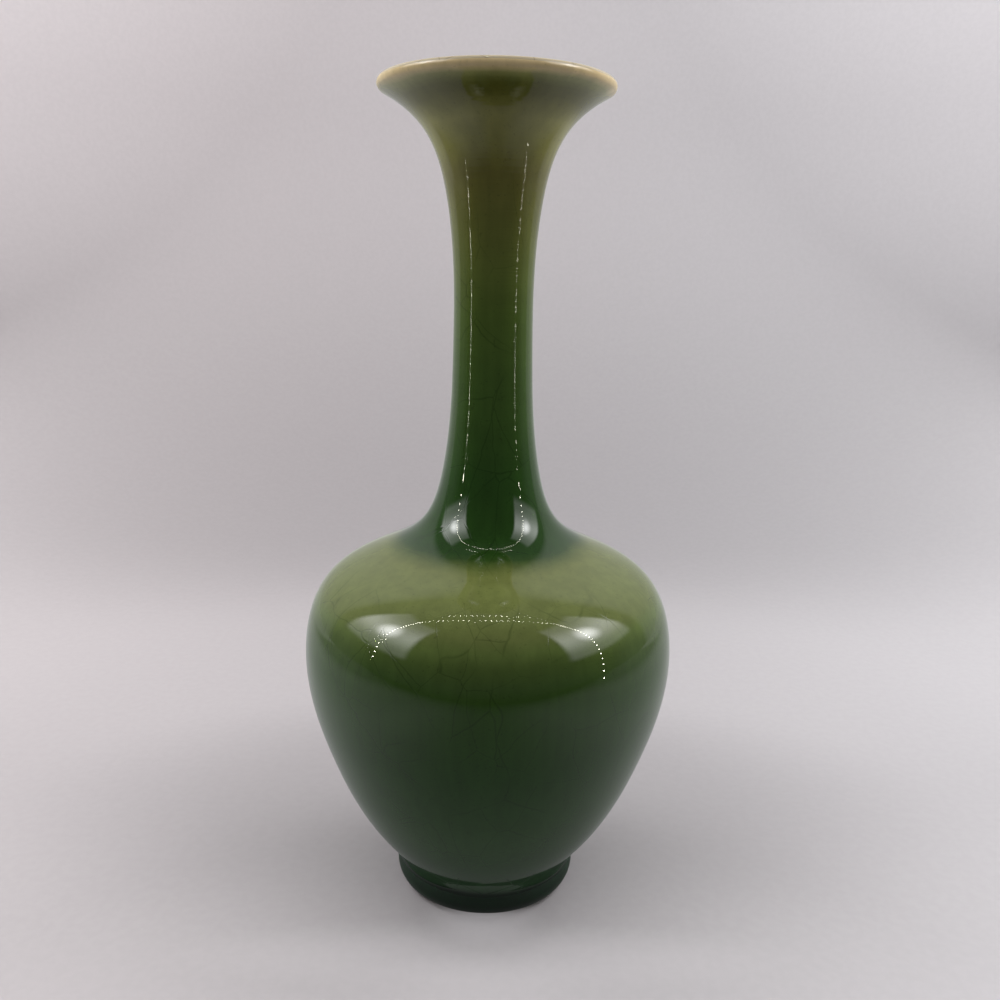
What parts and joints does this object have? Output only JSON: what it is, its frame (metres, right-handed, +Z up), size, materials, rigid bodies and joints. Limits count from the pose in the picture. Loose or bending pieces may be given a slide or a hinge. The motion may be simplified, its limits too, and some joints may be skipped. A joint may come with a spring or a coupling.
{
  "type": "bottle vase",
  "caption": "Glazed bottle vase with a long slim neck, flared trumpet mouth, high round shoulder and narrow ring foot; stands on a table and holds water and cut stems.",
  "frame": {"origin": "centre of the foot's flat resting face", "axes": "+Z up along the axis of revolution, towards the mouth; the vase is alike all round, so +X and +Y are free"},
  "size_m": [0.0996, 0.0996, 0.215],
  "materials": {
    "bare_clay": "fired stoneware, matt, brown-grey",
    "luting_slip": "fired slip, matt",
    "green_glaze": "glossy green crackle glaze, darker where it is thick, buff at the lip",
    "lining_glaze": "glossy pale sage glaze"
  },
  "bodies": {
    "root": {"foot_ring": "bare_clay", "foot_slip": "luting_slip", "lower_body": "bare_clay", "belly_slip": "luting_slip", "upper_body": "bare_clay", "collar_slip": "luting_slip", "neck": "bare_clay", "throat_slip": "luting_slip", "trumpet_mouth": "bare_clay", "outer_glaze": "green_glaze", "inner_glaze": "lining_glaze", "base_glaze": "lining_glaze"}
  },
  "joints": []
}
